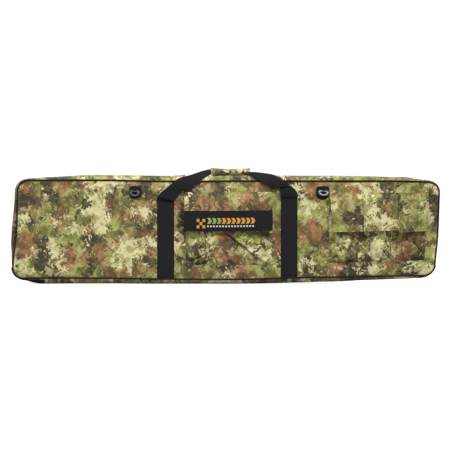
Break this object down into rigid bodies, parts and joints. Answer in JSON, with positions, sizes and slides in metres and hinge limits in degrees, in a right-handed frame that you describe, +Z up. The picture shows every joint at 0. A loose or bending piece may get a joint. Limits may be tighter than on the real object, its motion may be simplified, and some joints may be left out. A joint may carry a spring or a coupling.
{
  "type": "padded soft case",
  "caption": "Long rectangular padded soft case with a zipped lid, centre pocket, side pouches, D-rings, webbing load straps and carry handles that close in a grip wrap.",
  "frame": {"origin": "centre of the flat bottom the case stands on", "axes": "+X along the length towards the side pouches, -Y towards the front with the pockets, +Z up towards the handle"},
  "size_m": [1.2026, 0.1196, 0.3305],
  "materials": {
    "camo_fabric": "matte woven nylon, jagged four-colour pattern",
    "black_webbing": "matte ribbed webbing",
    "black_lining": "smooth matte lining",
    "foam": "closed-cell foam sheet",
    "black_plastic": "moulded nylon",
    "dark_metal": "black enamelled zinc"
  },
  "bodies": {
    "body_shell": {"rear_panel": "camo_fabric", "rear_foam": "foam", "rear_lining": "black_lining", "rear_piping": "black_webbing", "rear_gusset": "camo_fabric", "bottom_gusset": "camo_fabric", "bottom_foam": "foam", "zip_tape_rear": "black_webbing", "zip_coil_rear": "black_plastic", "zip_end_tab_left": "black_webbing", "zip_end_tab_right": "black_webbing", "rear_strap_left": "black_webbing", "rear_strap_right": "black_webbing", "inner_strap_left": "black_webbing", "inner_strap_right": "black_webbing"},
    "lid": {"front_panel": "camo_fabric", "front_foam": "foam", "front_lining": "black_lining", "front_piping": "black_webbing", "front_gusset": "camo_fabric", "zip_tape_front": "black_webbing", "zip_coil_front": "black_plastic", "front_strap_left": "black_webbing", "front_strap_right": "black_webbing", "d_ring_base_left": "black_webbing", "d_ring_base_right": "black_webbing", "centre_pocket": "camo_fabric", "centre_closure": "black_webbing", "pouch_1": "camo_fabric", "pouch_2": "camo_fabric", "pouch_3": "camo_fabric", "pouch_closure_1": "black_webbing", "pouch_closure_2": "black_webbing", "pouch_closure_3": "black_webbing"},
    "centre_flap_body": {"centre_flap": "camo_fabric", "name_strip": "black_webbing"},
    "pouch_flap_1_body": {"pouch_flap_1": "camo_fabric"},
    "pouch_flap_2_body": {"pouch_flap_2": "camo_fabric"},
    "pouch_flap_3_body": {"pouch_flap_3": "camo_fabric"},
    "front_handle": {"front_handle_webbing": "black_webbing", "grip_wrap": "camo_fabric"},
    "grip_flap_body": {"grip_flap": "camo_fabric"},
    "rear_handle": {"rear_handle_webbing": "black_webbing"},
    "ring_left": {"d_ring_left": "black_plastic"},
    "ring_right": {"d_ring_right": "black_plastic"},
    "slider_left_body": {"slider_left": "dark_metal"},
    "slider_right_body": {"slider_right": "dark_metal"},
    "pull_left_body": {"pull_left": "dark_metal"},
    "pull_right_body": {"pull_right": "dark_metal"}
  },
  "joints": [
    {"name": "lid_open", "type": "hinge", "parent": "body_shell", "child": "lid", "pos_m": [0, -0.045, 0.0125], "axis": [1, 0, 0], "range_deg": [0, 85]},
    {"name": "front_handle_swing", "type": "hinge", "parent": "lid", "child": "front_handle", "pos_m": [0, -0.0515, 0.243], "axis": [1, 0, 0], "range_deg": [0, 130]},
    {"name": "grip_flap_open", "type": "hinge", "parent": "front_handle", "child": "grip_flap_body", "pos_m": [0, -0.0032, 0.3308], "axis": [1, 0, 0], "range_deg": [0, 120]},
    {"name": "rear_handle_swing", "type": "hinge", "parent": "body_shell", "child": "rear_handle", "pos_m": [0, 0.0515, 0.243], "axis": [1, 0, 0], "range_deg": [0, 180]},
    {"name": "centre_flap_open", "type": "hinge", "parent": "lid", "child": "centre_flap_body", "pos_m": [0.00275, -0.0492, 0.2576], "axis": [-1, 0, 0], "range_deg": [0, 105]},
    {"name": "pouch_flap_1_open", "type": "hinge", "parent": "lid", "child": "pouch_flap_1_body", "pos_m": [0.33525, -0.0492, 0.2562], "axis": [-1, 0, 0], "range_deg": [0, 120]},
    {"name": "pouch_flap_2_open", "type": "hinge", "parent": "lid", "child": "pouch_flap_2_body", "pos_m": [0.4329, -0.0492, 0.2562], "axis": [-1, 0, 0], "range_deg": [0, 120]},
    {"name": "pouch_flap_3_open", "type": "hinge", "parent": "lid", "child": "pouch_flap_3_body", "pos_m": [0.52415, -0.0492, 0.2562], "axis": [-1, 0, 0], "range_deg": [0, 120]},
    {"name": "d_ring_left_swing", "type": "hinge", "parent": "lid", "child": "ring_left", "pos_m": [-0.262, -0.0516, 0.264], "axis": [-1, 0, 0], "range_deg": [0, 160]},
    {"name": "d_ring_right_swing", "type": "hinge", "parent": "lid", "child": "ring_right", "pos_m": [0.262, -0.0516, 0.264], "axis": [-1, 0, 0], "range_deg": [0, 160]},
    {"name": "slider_left_run", "type": "slide", "parent": "body_shell", "child": "slider_left_body", "axis": [-1, 0, 0], "range_m": [0, 0.372]},
    {"name": "slider_right_run", "type": "slide", "parent": "body_shell", "child": "slider_right_body", "axis": [1, 0, 0], "range_m": [0, 0.572]},
    {"name": "pull_left_swing", "type": "hinge", "parent": "slider_left_body", "child": "pull_left_body", "pos_m": [-0.121, 0, 0.3055], "axis": [0, 1, 0], "range_deg": [0, 110]},
    {"name": "pull_right_swing", "type": "hinge", "parent": "slider_right_body", "child": "pull_right_body", "pos_m": [-0.079, 0, 0.3055], "axis": [0, -1, 0], "range_deg": [0, 110]}
  ]
}
